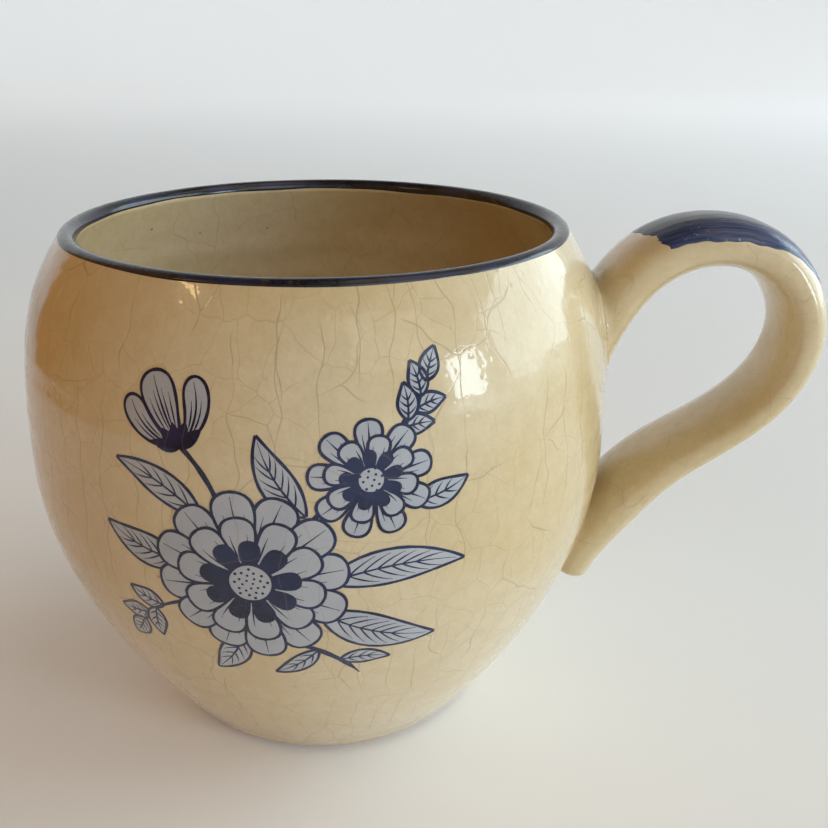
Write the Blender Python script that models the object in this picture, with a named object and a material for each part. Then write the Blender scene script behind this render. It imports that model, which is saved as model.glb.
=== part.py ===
"""A hand-thrown ceramic mug: round bowl, pulled strap handle, crazed cream glaze, blue decoration.

Metres, +Z up. The origin is the middle of the flat base, on the bowl's own axis. The handle is
on the +X side, in the plane y = 0, and the decoration faces -Y.
"""

import math

import bmesh
import bpy
import numpy as np
from mathutils import Vector

MM = 0.001

# Bowl, along its visible surface: (radius, height)
FOOT_HEIGHT = 3.0 * MM
FOOT_RADIUS = 26.0 * MM
COAT_EDGE = Vector((27.3, 1.0)) * MM
COAT_TURN = Vector((28.3, 2.0)) * MM
SHOULDER_START = Vector((29.1, 3.3)) * MM
SHOULDER_PULL = Vector((16.0, 21.0)) * MM
BELLY = Vector((48.2, 49.2)) * MM
BELLY_PULL_DOWN = 9.2 * MM
BELLY_PULL_UP = 22.3 * MM
NECK_PULL = Vector((5.3, -7.8)) * MM

# Lip: a half round whose sides are tangent to the leaning wall
LIP_CENTRE = Vector((39.25, 83.5)) * MM
LIP_RADIUS = 1.45 * MM
LIP_LEAN = math.radians(34)
BAND_LEG = 0.3 * MM

# Inside of the bowl
FLOOR_HEIGHT = 8.0 * MM
INSIDE_BELLY = Vector((44.2, 50.0)) * MM
INSIDE_PULL_UP = 20.0 * MM
INSIDE_NECK_PULL = Vector((4.2, -7.0)) * MM
INSIDE_PULL_DOWN = 24.0 * MM
FLOOR_FLAT_RADIUS = 14.0 * MM
FLOOR_PULL = 19.0 * MM

# Layers
COAT = 0.4 * MM
GAP = 0.3 * MM
CLAY_DEPTH = COAT + GAP
FILM = 0.2 * MM

# Handle: middle line in the plane y = 0 as (x, z, half thickness, half width), all in mm. Its two
# ends are pressed on to the wall and run down into it.
HANDLE_ROUTE = (
    (43.6, 56.5, 2.6, 7.4),
    (45.7, 65.0, 3.8, 8.4),
    (48.5, 71.6, 4.3, 8.5),
    (52.9, 77.4, 4.5, 8.3),
    (62.8, 82.1, 4.1, 8.2),
    (74.6, 79.2, 4.0, 8.2),
    (80.4, 68.8, 3.9, 8.4),
    (77.4, 57.4, 3.6, 8.6),
    (68.2, 48.9, 3.4, 8.8),
    (58.2, 41.9, 4.0, 9.0),
    (52.8, 36.4, 4.4, 9.0),
    (47.8, 30.0, 4.2, 9.0),
    (45.2, 25.4, 4.0, 8.8),
    (44.0, 21.4, 3.6, 8.2),
)
UPPER_JOINT_END = 0.17
LOWER_JOINT_START = 0.80
SECTION_EXPONENT = 2.4
STROKE_SPAN = (UPPER_JOINT_END, 0.45)
STROKE_ANGLES = (math.radians(28), math.radians(152))

# Printed decoration: a film centred on the front of the bowl
PRINT_AZIMUTH = math.radians(-92.7)
PRINT_HEIGHT = 51.5 * MM
PRINT_HALF_WIDTH = 26.0 * MM
PRINT_HALF_HEIGHT = 24.5 * MM

# Fineness of the meshes
TURNS = 40
WALL_STEPS = 11
LIP_STEPS = 6
HANDLE_STEPS = 22
SECTION_POINTS = 14
JOINT_STEPS = 8
PRINT_RINGS = 5
PRINT_SPOKES = 28
STROKE_STEPS = (12, 6)
SHARP = math.radians(40)

CREAM = (0.78, 0.62, 0.40, 1.0)
BARE_CLAY = (0.70, 0.50, 0.32, 1.0)
NAVY = (0.02, 0.03, 0.12, 1.0)
PALE_BLUE = (0.42, 0.46, 0.58, 1.0)


def clear_scene():
    for old in list(bpy.data.objects):
        bpy.data.objects.remove(old, do_unlink=True)


def make_material(name, colour, roughness):
    material = bpy.data.materials.new(name)
    material.use_nodes = True
    shader = material.node_tree.nodes["Principled BSDF"]
    shader.inputs["Base Color"].default_value = colour
    shader.inputs["Roughness"].default_value = roughness
    shader.inputs["Metallic"].default_value = 0.0
    material.diffuse_color = colour
    return material


def bezier(start, pull_start, pull_end, end, steps):
    """Points of one cubic curve, both ends included."""
    points = []
    for t in np.linspace(0.0, 1.0, steps + 1):
        s = 1.0 - t
        points.append(
            start * s**3 + pull_start * 3 * s * s * t + pull_end * 3 * s * t * t + end * t**3
        )
    return points


def wall_curve(steps):
    """The outside of the bowl, from above the foot up to the lip."""
    lean = Vector((math.cos(LIP_LEAN), math.sin(LIP_LEAN)))
    top = LIP_CENTRE + lean * LIP_RADIUS
    lower = bezier(
        SHOULDER_START,
        SHOULDER_START + SHOULDER_PULL,
        BELLY - Vector((0, BELLY_PULL_DOWN)),
        BELLY,
        steps // 2,
    )
    upper = bezier(
        BELLY, BELLY + Vector((0, BELLY_PULL_UP)), top + NECK_PULL, top, steps - steps // 2
    )
    return lower + upper[1:]


FINE_WALL = np.array([tuple(point) for point in wall_curve(200)])


def wall_radius(height):
    return float(np.interp(height, FINE_WALL[:, 1], FINE_WALL[:, 0]))


def on_wall(azimuth, height, lift):
    """A point at this distance outside the bowl's visible surface."""
    step = 0.5 * MM
    slope = (wall_radius(height + step) - wall_radius(height - step)) / (2 * step)
    length = math.hypot(1.0, slope)
    radius = wall_radius(height) + lift / length
    return Vector(
        (
            radius * math.cos(azimuth),
            radius * math.sin(azimuth),
            height - lift * slope / length,
        )
    )


def bowl_outline():
    """The whole visible surface as (radius, height): floor, inside wall, lip, outside wall.

    Also gives the places of the two edges of the blue band in that list. The band starts one
    step up the lip on the inside, and ends a short leg down the outside.
    """
    lean = Vector((math.cos(LIP_LEAN), math.sin(LIP_LEAN)))
    inner_top = LIP_CENTRE - lean * LIP_RADIUS
    floor_edge = Vector((FLOOR_FLAT_RADIUS, FLOOR_HEIGHT))
    inside_low = bezier(
        floor_edge,
        floor_edge + Vector((FLOOR_PULL, 0)),
        INSIDE_BELLY - Vector((0, INSIDE_PULL_DOWN)),
        INSIDE_BELLY,
        WALL_STEPS // 2 + 1,
    )
    inside_high = bezier(
        INSIDE_BELLY,
        INSIDE_BELLY + Vector((0, INSIDE_PULL_UP)),
        inner_top + INSIDE_NECK_PULL,
        inner_top,
        WALL_STEPS // 2,
    )
    inside = [Vector((0, FLOOR_HEIGHT))] + inside_low + inside_high[1:-1]
    lip = []
    for turn in np.linspace(math.pi + LIP_LEAN, LIP_LEAN, LIP_STEPS + 1):
        lip.append(LIP_CENTRE + Vector((math.cos(turn), math.sin(turn))) * LIP_RADIUS)
    outside = wall_curve(WALL_STEPS)[::-1]
    outside[0] = outside[0] + Vector((lean.y, -lean.x)) * BAND_LEG
    outside += [COAT_TURN, COAT_EDGE]
    return inside + lip + outside, len(inside) + 1, len(inside) + len(lip)


def sunk(outline, depth):
    """The outline moved into the clay by this depth. The surface is on the outline's left."""
    moved = []
    for i, point in enumerate(outline):
        before = outline[max(i - 1, 0)]
        after = outline[min(i + 1, len(outline) - 1)]
        travel = (after - before).normalized()
        moved.append(point - Vector((-travel.y, travel.x)) * depth)
    return moved


def add_object(name, mesh, material):
    mesh.materials.append(material)
    mesh.shade_smooth()
    mesh.set_sharp_from_angle(angle=SHARP)
    made = bpy.data.objects.new(name, mesh)
    bpy.context.collection.objects.link(made)
    return made


def turned(name, profile, closed, material):
    """A solid of revolution. The profile runs down its outer side."""
    mesh = bpy.data.meshes.new(name)
    count = len(profile)
    edges = [(i, i + 1) for i in range(count - 1)]
    if closed:
        edges.append((count - 1, 0))
    mesh.from_pydata([(p.x, 0.0, p.y) for p in profile], edges, [])
    made = add_object(name, mesh, material)
    screw = made.modifiers.new("turn", "SCREW")
    screw.axis = "Z"
    screw.angle = 2 * math.pi
    screw.steps = TURNS
    screw.render_steps = TURNS
    screw.use_merge_vertices = True
    screw.merge_threshold = 1e-6
    screw.use_smooth_shade = True
    return made


def coat(name, outline, material):
    """A glassy coat of even thickness under a stretch of the outline."""
    return turned(name, outline + sunk(outline, COAT)[::-1], True, material)


def ring_edges(work, ring):
    """The edges round a ring of vertices, made where they don't exist yet."""
    edges = []
    for first, second in zip(ring, ring[1:] + ring[:1]):
        edges.append(work.edges.get((first, second)) or work.edges.new((first, second)))
    return edges


def loft(name, rings, material, loop=False):
    """Rings of equal length skinned into one solid. A loop joins its last ring to its first."""
    work = bmesh.new()
    made_rings = [[work.verts.new(point) for point in ring] for ring in rings]
    pairs = list(zip(made_rings, made_rings[1:]))
    if loop:
        pairs.append((made_rings[-1], made_rings[0]))
    else:
        work.faces.new(made_rings[0])
        work.faces.new(made_rings[-1])
    for first, second in pairs:
        bmesh.ops.bridge_loops(work, edges=ring_edges(work, first) + ring_edges(work, second))
    bmesh.ops.recalc_face_normals(work, faces=work.faces)
    mesh = bpy.data.meshes.new(name)
    work.to_mesh(mesh)
    work.free()
    return add_object(name, mesh, material)


def film(name, points, faces, material):
    """A thin sheet thickened outwards."""
    mesh = bpy.data.meshes.new(name)
    mesh.from_pydata(points, [], faces)
    made = add_object(name, mesh, material)
    thicken = made.modifiers.new("film", "SOLIDIFY")
    thicken.thickness = FILM
    thicken.offset = 1.0
    return made


def brush_stroke(name, material):
    """A film over the outer face of the strap, from the upper joint over the crest."""
    steps, columns = STROKE_STEPS
    points = []
    for share in np.linspace(*STROKE_SPAN, steps + 1):
        for turn in np.linspace(*STROKE_ANGLES, columns + 1):
            points.append(section_point(share, turn, GAP))
    faces = []
    for row in range(steps):
        for column in range(columns):
            corner = row * (columns + 1) + column
            above = corner + columns + 1
            faces.append((corner, corner + 1, above + 1, above))
    return film(name, points, faces, material)


def print_film(name, material):
    """An oval film on the front of the bowl, as rings round its middle point."""
    points = [on_wall(PRINT_AZIMUTH, PRINT_HEIGHT, GAP)]
    for size in np.linspace(0.0, 1.0, PRINT_RINGS + 1)[1:]:
        for i in range(PRINT_SPOKES):
            turn = 2 * math.pi * i / PRINT_SPOKES
            across = PRINT_HALF_WIDTH * size * math.cos(turn)
            height = PRINT_HEIGHT + PRINT_HALF_HEIGHT * size * math.sin(turn)
            points.append(on_wall(PRINT_AZIMUTH + across / BELLY.x, height, GAP))
    faces = []
    for i in range(PRINT_SPOKES):
        side = (i + 1) % PRINT_SPOKES
        faces.append((0, 1 + i, 1 + side))
        for ring in range(PRINT_RINGS - 1):
            base = 1 + ring * PRINT_SPOKES
            outer = base + PRINT_SPOKES
            faces.append((base + i, outer + i, outer + side, base + side))
    return film(name, points, faces, material)


def spline(values, places):
    """Natural cubic spline through rows of values at the given places, as a function."""
    places = np.array(places)
    values = np.array(values)
    count = len(places)
    widths = np.diff(places)
    system = np.eye(count)
    right = np.zeros_like(values)
    for i in range(1, count - 1):
        system[i, i - 1 : i + 2] = (widths[i - 1], 2 * (widths[i - 1] + widths[i]), widths[i])
        rise = (values[i + 1] - values[i]) / widths[i]
        right[i] = 6 * (rise - (values[i] - values[i - 1]) / widths[i - 1])
    bends = np.linalg.solve(system, right)

    def at(place):
        i = int(np.clip(np.searchsorted(places, place) - 1, 0, count - 2))
        ahead = (place - places[i]) / widths[i]
        behind = 1.0 - ahead
        curve = (behind**3 - behind) * bends[i] + (ahead**3 - ahead) * bends[i + 1]
        return behind * values[i] + ahead * values[i + 1] + curve * widths[i] ** 2 / 6

    return at


ROUTE = np.array(HANDLE_ROUTE) * MM
ROUTE_LENGTHS = np.linalg.norm(np.diff(ROUTE[:, :2], axis=0), axis=1)
ROUTE_PLACES = np.concatenate(([0.0], np.cumsum(ROUTE_LENGTHS))) / ROUTE_LENGTHS.sum()
ALONG_ROUTE = spline(ROUTE, ROUTE_PLACES)


def strap_length():
    return float(ROUTE_LENGTHS.sum())


def handle_frame(share):
    """Centre, outward normal, half thickness and half width at a share of the strap's length."""
    x, z, thick, wide = ALONG_ROUTE(share)
    step = 1e-3
    ahead = ALONG_ROUTE(min(share + step, 1.0)) - ALONG_ROUTE(max(share - step, 0.0))
    along = Vector((ahead[0], 0, ahead[1])).normalized()
    return Vector((x, 0, z)), Vector((-along.z, 0, along.x)), float(thick), float(wide)


def section_point(share, turn, lift):
    """A point of the strap's rounded section. A quarter turn is the middle of its outer face."""
    centre, out, thick, wide = handle_frame(share)
    power = 2.0 / SECTION_EXPONENT
    across = math.copysign(abs(math.cos(turn)) ** power, math.cos(turn)) * (wide + lift)
    rise = math.copysign(abs(math.sin(turn)) ** power, math.sin(turn)) * (thick + lift)
    return centre + out * rise + Vector((0, across, 0))


def section_ring(share, lift):
    turns = [2 * math.pi * i / SECTION_POINTS for i in range(SECTION_POINTS)]
    return [section_point(share, turn, lift) for turn in turns]


def strap(name, start, end, steps, lift, material):
    """A stretch of the solid strap, grown or shrunk by the lift."""
    rings = [section_ring(share, lift) for share in np.linspace(start, end, steps + 1)]
    return loft(name, rings, material)


def take_out(made, cutter):
    """Cut one shape from another, which stays free of it."""
    cutter.hide_render = True
    cutter.display_type = "WIRE"
    opening = made.modifiers.new(cutter.name, "BOOLEAN")
    opening.operation = "DIFFERENCE"
    opening.object = cutter


def make_bowl(outline, clay):
    """The clay wall and floor, under the coats and above the foot."""
    clay_side = sunk(outline[: -len((COAT_TURN, COAT_EDGE))], CLAY_DEPTH)
    clay_side[0].x = 0.0
    clay_side[-1].y = SHOULDER_START.y
    turned("bowl", clay_side + [Vector((0, SHOULDER_START.y))], False, clay)


def make_foot(outline, clay):
    """The turned foot: a flat disc, bare where it stands, with the coat round its side."""
    side = sunk(outline, CLAY_DEPTH)[-2:]
    profile = [
        Vector((0, FOOT_HEIGHT)),
        Vector((side[0].x + GAP, FOOT_HEIGHT)),
        side[0],
        side[1],
        Vector((FOOT_RADIUS, 0)),
        Vector((0, 0)),
    ]
    turned("foot", profile, False, clay)


def make_coats(outline, band_start, band_end, glaze, navy):
    """The blue band over the lip, and the cream coats that meet its two edges."""
    coat("rim_band", outline[band_start : band_end + 1], navy)
    inside = outline[: band_start + 1]
    inside[-1] = inside[-1] + (inside[-2] - inside[-1]).normalized() * GAP
    liner = inside + sunk(inside, COAT)[::-1]
    liner[-1].x = 0.0
    turned("liner_glaze", liner, False, glaze)
    outside = outline[band_end:]
    outside[0] = outside[0] + (outside[1] - outside[0]).normalized() * GAP
    outer = coat("outer_glaze", outside, glaze)
    window = strap("joint_windows", 0.0, 1.0, HANDLE_STEPS, GAP, glaze)
    take_out(outer, window)


def make_handle(outside, clay, glaze):
    """The strap in its coat, and the two pressed joints that carry it on the clay wall."""
    start, end = UPPER_JOINT_END, LOWER_JOINT_START
    strap("handle", start, end, HANDLE_STEPS, -CLAY_DEPTH, clay)
    shares = np.linspace(start, end, HANDLE_STEPS + 1)
    tube = [section_ring(share, 0.0) for share in shares]
    tube += [section_ring(share, -COAT) for share in shares[::-1]]
    loft("handle_glaze", tube, glaze, loop=True)
    clearance = sunk(outside, COAT)
    clearance = [Vector((0, clearance[0].y))] + clearance + [Vector((0, clearance[-1].y))]
    wall = turned("wall_clearance", clearance, False, clay)
    gap = GAP / strap_length()
    upper = strap("upper_joint", 0.0, start - gap, JOINT_STEPS, 0.0, glaze)
    lower = strap("lower_joint", end + gap, 1.0, JOINT_STEPS, 0.0, glaze)
    take_out(upper, wall)
    take_out(lower, wall)


def build():
    clear_scene()
    clay = make_material("bare_clay", BARE_CLAY, 0.75)
    glaze = make_material("cream_glaze", CREAM, 0.15)
    navy = make_material("navy_glaze", NAVY, 0.2)
    ink = make_material("blue_print", PALE_BLUE, 0.25)

    outline, band_start, band_end = bowl_outline()
    make_bowl(outline, clay)
    make_foot(outline, clay)
    make_coats(outline, band_start, band_end, glaze, navy)
    make_handle(outline[band_end:], clay, glaze)
    brush_stroke("handle_brush_stroke", navy)
    print_film("front_print", ink)


build()
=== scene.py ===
"""The look of a round, crazed, cream-glazed mug with blue decoration.

The shapes repeat the CAD model's outline and strap route, with the surface detail that its solids
leave out. Lengths are in millimetres until a mesh is made. The axes are the CAD model's: +Z up,
+X towards the handle, and the print faces -Y.
"""
import math

import bpy
import numpy as np
from mathutils import Euler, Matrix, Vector


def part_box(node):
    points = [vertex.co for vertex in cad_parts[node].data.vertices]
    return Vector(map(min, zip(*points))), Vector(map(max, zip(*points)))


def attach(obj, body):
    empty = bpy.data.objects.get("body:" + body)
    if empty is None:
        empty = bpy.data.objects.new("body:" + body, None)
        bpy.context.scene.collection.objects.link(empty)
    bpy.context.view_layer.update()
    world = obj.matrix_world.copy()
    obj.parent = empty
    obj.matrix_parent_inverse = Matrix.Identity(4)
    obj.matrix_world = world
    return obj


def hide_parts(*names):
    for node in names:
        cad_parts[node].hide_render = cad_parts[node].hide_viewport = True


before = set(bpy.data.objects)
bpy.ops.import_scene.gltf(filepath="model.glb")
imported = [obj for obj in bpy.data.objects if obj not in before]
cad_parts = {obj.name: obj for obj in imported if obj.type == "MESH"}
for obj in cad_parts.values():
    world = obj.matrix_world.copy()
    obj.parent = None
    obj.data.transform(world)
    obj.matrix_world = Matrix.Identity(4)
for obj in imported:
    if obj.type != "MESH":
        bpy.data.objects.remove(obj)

SCENE = bpy.context.scene
MM = 0.001
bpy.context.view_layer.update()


def box_mm(node):
    """A CAD node's lowest and highest corners in millimetres."""
    low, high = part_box(node)
    return np.array(low) / MM, np.array(high) / MM


COAT_LOW = box_mm("outer_glaze")[0]
BAND_LOW, BAND_HIGH = box_mm("rim_band")
FOOT_TOP = box_mm("foot")[1][2]
LINER_LOW = box_mm("liner_glaze")[0]

# Bowl: (radius, height). The pulls are the handles of its cubic curves.
LIP_RADIUS = 1.45
LIP_LEAN = math.radians(34)
BAND_LEG = 0.3
LIP_CENTRE = np.array(
    (
        -BAND_LOW[0] - LIP_RADIUS * math.cos(LIP_LEAN) - BAND_LEG * math.sin(LIP_LEAN),
        BAND_HIGH[2] - LIP_RADIUS,
    )
)
BELLY = np.array((-COAT_LOW[0], 49.2))
BELLY_PULL_DOWN = 9.2
BELLY_PULL_UP = 22.3
NECK_PULL = np.array((5.3, -7.8))
SHOULDER_START = np.array((29.1, 3.3))
SHOULDER_PULL = np.array((16.0, 21.0))
COAT_EDGE = np.array((27.3, COAT_LOW[2]))
COAT_TURN = np.array((28.3, 2.0))
COAT = 0.4
CLAY_DEPTH = COAT + 0.05
BAND_DEPTH = 0.55
FLOOR_HEIGHT = LINER_LOW[2] + COAT
INSIDE_BELLY = np.array((44.2, 50.0))
INSIDE_PULL_UP = 20.0
INSIDE_PULL_DOWN = 24.0
INSIDE_NECK_PULL = np.array((4.2, -7.0))
FLOOR_FLAT_RADIUS = 14.0
FLOOR_PULL = 19.0

# Handle: (x, z, half thickness, half width) along its middle line in the plane y = 0
HANDLE_ROUTE = (
    (43.6, 56.5, 2.6, 7.4),
    (45.7, 65.0, 3.8, 8.4),
    (48.5, 71.6, 4.3, 8.5),
    (52.9, 77.4, 4.5, 8.3),
    (62.8, 82.1, 4.1, 8.2),
    (74.6, 79.2, 4.0, 8.2),
    (80.4, 68.8, 3.9, 8.4),
    (77.4, 57.4, 3.6, 8.6),
    (68.2, 48.9, 3.4, 8.8),
    (58.2, 41.9, 4.0, 9.0),
    (52.8, 36.4, 4.4, 9.0),
    (47.8, 30.0, 4.2, 9.0),
    (45.2, 25.4, 4.0, 8.8),
    (44.0, 21.4, 3.6, 8.2),
)
SECTION_EXPONENT = 2.4
UPPER_JOINT_END = 0.17
LOWER_JOINT_START = 0.80
JOINT_REACH = 2.0

PRINT_AZIMUTH = math.radians(-92.7)
PRINT_HEIGHT = 50.7
PRINT_WRAP = 46.5


# ---------------- curves


def bezier(start, pull_start, pull_end, end, steps=60):
    t = np.linspace(0.0, 1.0, steps + 1)[:, None]
    s = 1.0 - t
    return start * s**3 + pull_start * 3 * s * s * t + pull_end * 3 * s * t * t + end * t**3


def respaced(path, spacing):
    """The same path with evenly spaced points."""
    lengths = np.concatenate(([0.0], np.cumsum(np.linalg.norm(np.diff(path, axis=0), axis=1))))
    count = max(2, int(round(lengths[-1] / spacing)) + 1)
    places = np.linspace(0.0, lengths[-1], count)
    return np.column_stack([np.interp(places, lengths, path[:, k]) for k in range(path.shape[1])])


def left_of(path):
    """Unit vectors to the left of a path: out of the clay, for a path up the inside and over."""
    travel = np.gradient(path, axis=0)
    travel /= np.linalg.norm(travel, axis=1)[:, None]
    return np.column_stack((-travel[:, 1], travel[:, 0]))


def smooth(t):
    t = np.clip(t, 0.0, 1.0)
    return t * t * (3 - 2 * t)


def spline(values, places):
    """Natural cubic spline through rows of values, as a function of many places at once."""
    count = len(places)
    widths = np.diff(places)
    system = np.eye(count)
    right = np.zeros_like(values)
    for i in range(1, count - 1):
        system[i, i - 1 : i + 2] = (widths[i - 1], 2 * (widths[i - 1] + widths[i]), widths[i])
        rise = (values[i + 1] - values[i]) / widths[i]
        right[i] = 6 * (rise - (values[i] - values[i - 1]) / widths[i - 1])
    bends = np.linalg.solve(system, right)

    def at(place):
        place = np.asarray(place, float)
        i = np.clip(np.searchsorted(places, place) - 1, 0, count - 2)
        width = widths[i][..., None]
        ahead = (place - places[i])[..., None] / width
        behind = 1.0 - ahead
        curve = (behind**3 - behind) * bends[i] + (ahead**3 - ahead) * bends[i + 1]
        return behind * values[i] + ahead * values[i + 1] + curve * width**2 / 6

    return at


# ---------------- the bowl's outline


def lip_points(turns):
    """Points of the lip's half round. Past its ends it runs on straight, down either wall."""
    turns = np.asarray(turns, float)
    held = np.clip(turns, LIP_LEAN, math.pi + LIP_LEAN)
    normals = np.stack((np.cos(held), np.sin(held)), axis=-1)
    along = np.stack((-np.sin(held), np.cos(held)), axis=-1)
    points = LIP_CENTRE + normals * LIP_RADIUS + along * ((turns - held) * LIP_RADIUS)[..., None]
    return points, normals


def outside_path():
    """The outer wall from the lip's half round down to the coat's edge at the foot."""
    top = lip_points(LIP_LEAN)[0]
    upper = bezier(top, top + NECK_PULL, BELLY + (0, BELLY_PULL_UP), BELLY)
    shoulder_pull = SHOULDER_START + SHOULDER_PULL
    lower = bezier(BELLY, BELLY - (0, BELLY_PULL_DOWN), shoulder_pull, SHOULDER_START)
    turn_in = bezier(SHOULDER_START, SHOULDER_START - (0.5, 0.8), COAT_TURN, COAT_EDGE, 12)
    return np.vstack((upper, lower[1:], turn_in[1:]))


def inside_path():
    """The inner wall from the middle of the floor up to the lip's half round."""
    top = lip_points(math.pi + LIP_LEAN)[0]
    edge = np.array((FLOOR_FLAT_RADIUS, FLOOR_HEIGHT))
    low = bezier(edge, edge + (FLOOR_PULL, 0), INSIDE_BELLY - (0, INSIDE_PULL_DOWN), INSIDE_BELLY)
    high = bezier(INSIDE_BELLY, INSIDE_BELLY + (0, INSIDE_PULL_UP), top + INSIDE_NECK_PULL, top)
    return np.vstack(([(0.0, FLOOR_HEIGHT)], low, high[1:]))


OUTSIDE = respaced(outside_path(), 0.5)
INSIDE = respaced(inside_path(), 0.7)
WALL_Z = OUTSIDE[::-1, 1]
WALL_R = OUTSIDE[::-1, 0]
WALL_SLOPE = np.gradient(WALL_R, WALL_Z)


def unevenness(azimuth, height):
    """How far a thrown wall strays from round. It is nothing at the handle's own side."""
    away = np.sin(azimuth / 2) ** 2
    return away * (0.10 * np.sin(2 * azimuth + 0.8) + 0.07 * np.sin(3 * azimuth + height / 35))


def throwing_rings(azimuth, height):
    """Faint spiral ridges left by the fingers, fading out at the lip and the foot."""
    fade = smooth((height - 6) / 14) * smooth((80 - height) / 12)
    coarse = 0.022 * np.sin(1.05 * height + azimuth)
    fine = 0.014 * np.sin(1.73 * height + 2 * azimuth + 1.0)
    return fade * (coarse + fine)


def bowl_points(azimuth, points, normals, lift, rings=1.0):
    """Places on the bowl: the outline at these azimuths, with its unevenness and a lift."""
    azimuth = np.asarray(azimuth, float)
    radius, height = points[..., 0], points[..., 1]
    raised = lift + rings * throwing_rings(azimuth, height)
    out = radius + normals[..., 0] * raised
    out = out + unevenness(azimuth, height) * np.clip(radius / 20.0, 0.0, 1.0)
    up = height + normals[..., 1] * raised
    up = up + 0.12 * np.sin(azimuth + 2.0) * smooth((height - 60) / 24)
    return np.stack((out * np.cos(azimuth), out * np.sin(azimuth), up), axis=-1)


def wall_points(azimuth, height, lift):
    """Places on the outer wall by azimuth and height, for what lies on it."""
    height = np.asarray(height, float)
    radius = np.interp(height, WALL_Z, WALL_R)
    slope = np.interp(height, WALL_Z, WALL_SLOPE)
    length = np.sqrt(1 + slope**2)
    normals = np.stack((1 / length, -slope / length), axis=-1)
    return bowl_points(azimuth, np.stack((radius, height), axis=-1), normals, lift)


# ---------------- the strap


ROUTE = np.array(HANDLE_ROUTE)
ROUTE_LENGTHS = np.linalg.norm(np.diff(ROUTE[:, :2], axis=0), axis=1)
STRAP_LENGTH = ROUTE_LENGTHS.sum()
ALONG_ROUTE = spline(ROUTE, np.concatenate(([0.0], np.cumsum(ROUTE_LENGTHS))) / STRAP_LENGTH)
TAIL_START = 1.0 - 2.6 / STRAP_LENGTH
TAIL_EXPONENT = 2.6


def strap_frames(shares):
    """Centres, outward normals, half thicknesses and half widths along the strap."""
    shares = np.asarray(shares, float)
    values = ALONG_ROUTE(shares)
    step = 1e-3
    ahead = ALONG_ROUTE(np.minimum(shares + step, 1)) - ALONG_ROUTE(np.maximum(shares - step, 0))
    along = ahead[..., :2] / np.linalg.norm(ahead[..., :2], axis=-1)[..., None]
    out = np.stack((-along[..., 1], along[..., 0]), axis=-1)
    past = np.clip((shares - TAIL_START) / (1 - TAIL_START), 0.0, 1.0)
    close = (1 - past**TAIL_EXPONENT) ** (1 / TAIL_EXPONENT)
    return values[..., :2], out, values[..., 2] * close, values[..., 3] * close


def power(value, exponent):
    return np.sign(value) * np.abs(value) ** exponent


def strap_points(shares, turns, lift):
    """Places on the strap's rounded section. A quarter turn is the middle of its outer face."""
    centre, out, thick, wide = strap_frames(shares)
    shape = 2.0 / SECTION_EXPONENT
    pulled = 0.07 * np.sin(shares * 31.0 + 1.5 * np.cos(turns)) + 0.05 * np.cos(2 * turns + 9 * shares)
    across = power(np.cos(turns), shape) * (wide + lift)
    rise = power(np.sin(turns), shape) * (thick + lift + pulled * np.clip(thick / 3.0, 0, 1))
    place = centre + out * rise[..., None]
    return np.stack((place[..., 0], across, place[..., 1]), axis=-1)


DENSE = strap_frames(np.linspace(0.0, 1.0, 420))


def strap_distance(points):
    """Rough signed distance from the strap's surface, and its direction."""
    centre, out, thick, wide = DENSE
    distance = np.empty(len(points))
    direction = np.empty((len(points), 3))
    n = SECTION_EXPONENT
    for start in range(0, len(points), 6000):
        some = points[start : start + 6000]
        gap = some[:, None, (0, 2)] - centre[None]
        near = np.argmin((gap**2).sum(-1), axis=1)
        offset = gap[np.arange(len(some)), near]
        rise = (offset * out[near]).sum(-1)
        half_t, half_w = np.maximum(thick[near], 0.3), np.maximum(wide[near], 0.3)
        a, b = np.abs(some[:, 1]) / half_w, np.abs(rise) / half_t
        q = np.maximum((a**n + b**n) ** (1 / n), 1e-3)
        slope_y = np.sign(some[:, 1]) * (a / q) ** (n - 1) / half_w
        slope_r = np.sign(rise) * (b / q) ** (n - 1) / half_t
        steep = np.maximum(np.hypot(slope_y, slope_r), 1e-3)
        beside = (q - 1) / steep
        flat = out[near] * (slope_r / steep)[:, None]
        way = np.column_stack((flat[:, 0], slope_y / steep, flat[:, 1]))
        along = np.column_stack((out[near][:, 1], np.zeros(len(some)), -out[near][:, 0]))
        past = (offset * along[:, (0, 2)]).sum(-1)
        at_end = (near == 0) | (near == len(centre) - 1)
        outside = np.maximum(beside, 0.0)
        whole = np.maximum(np.hypot(outside, past), 1e-3)
        end_way = (outside[:, None] * way + past[:, None] * along) / whole[:, None]
        distance[start : start + 6000] = np.where(at_end, whole, beside)
        direction[start : start + 6000] = np.where(at_end[:, None], end_way, way)
    return distance, direction


def wall_distance(points):
    """Rough signed distance from the outer wall, and its direction."""
    radius = np.hypot(points[:, 0], points[:, 1])
    slope = np.interp(points[:, 2], WALL_Z, WALL_SLOPE)
    length = np.sqrt(1 + slope**2)
    distance = (radius - np.interp(points[:, 2], WALL_Z, WALL_R)) / length
    direction = np.column_stack(
        (points[:, 0] / radius / length, points[:, 1] / radius / length, -slope / length)
    )
    return distance, direction


def fused(points, own, other):
    """Points of one surface moved out where the other comes near, so that glaze fills the join.

    The two surfaces are rounded into each other as by a smooth union of their distances.
    """
    moved = points.copy()
    near = np.abs(other(points)[0]) < 2 * JOINT_REACH
    for _ in range(3):
        mine, my_way = own(moved)
        far, its_way = other(moved)
        blend = np.clip(1 - np.abs(far - mine) / JOINT_REACH, 0.0, 1.0)
        share = (blend / 2)[:, None]
        value = mine - blend**2 * JOINT_REACH / 4
        way = my_way * (1 - share) + its_way * share
        strength = np.maximum((way**2).sum(-1), 0.2)
        step = -(value / strength)[:, None] * way
        moved = np.where(near[:, None], moved + step, moved)
    return moved


# ---------------- meshes


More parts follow.
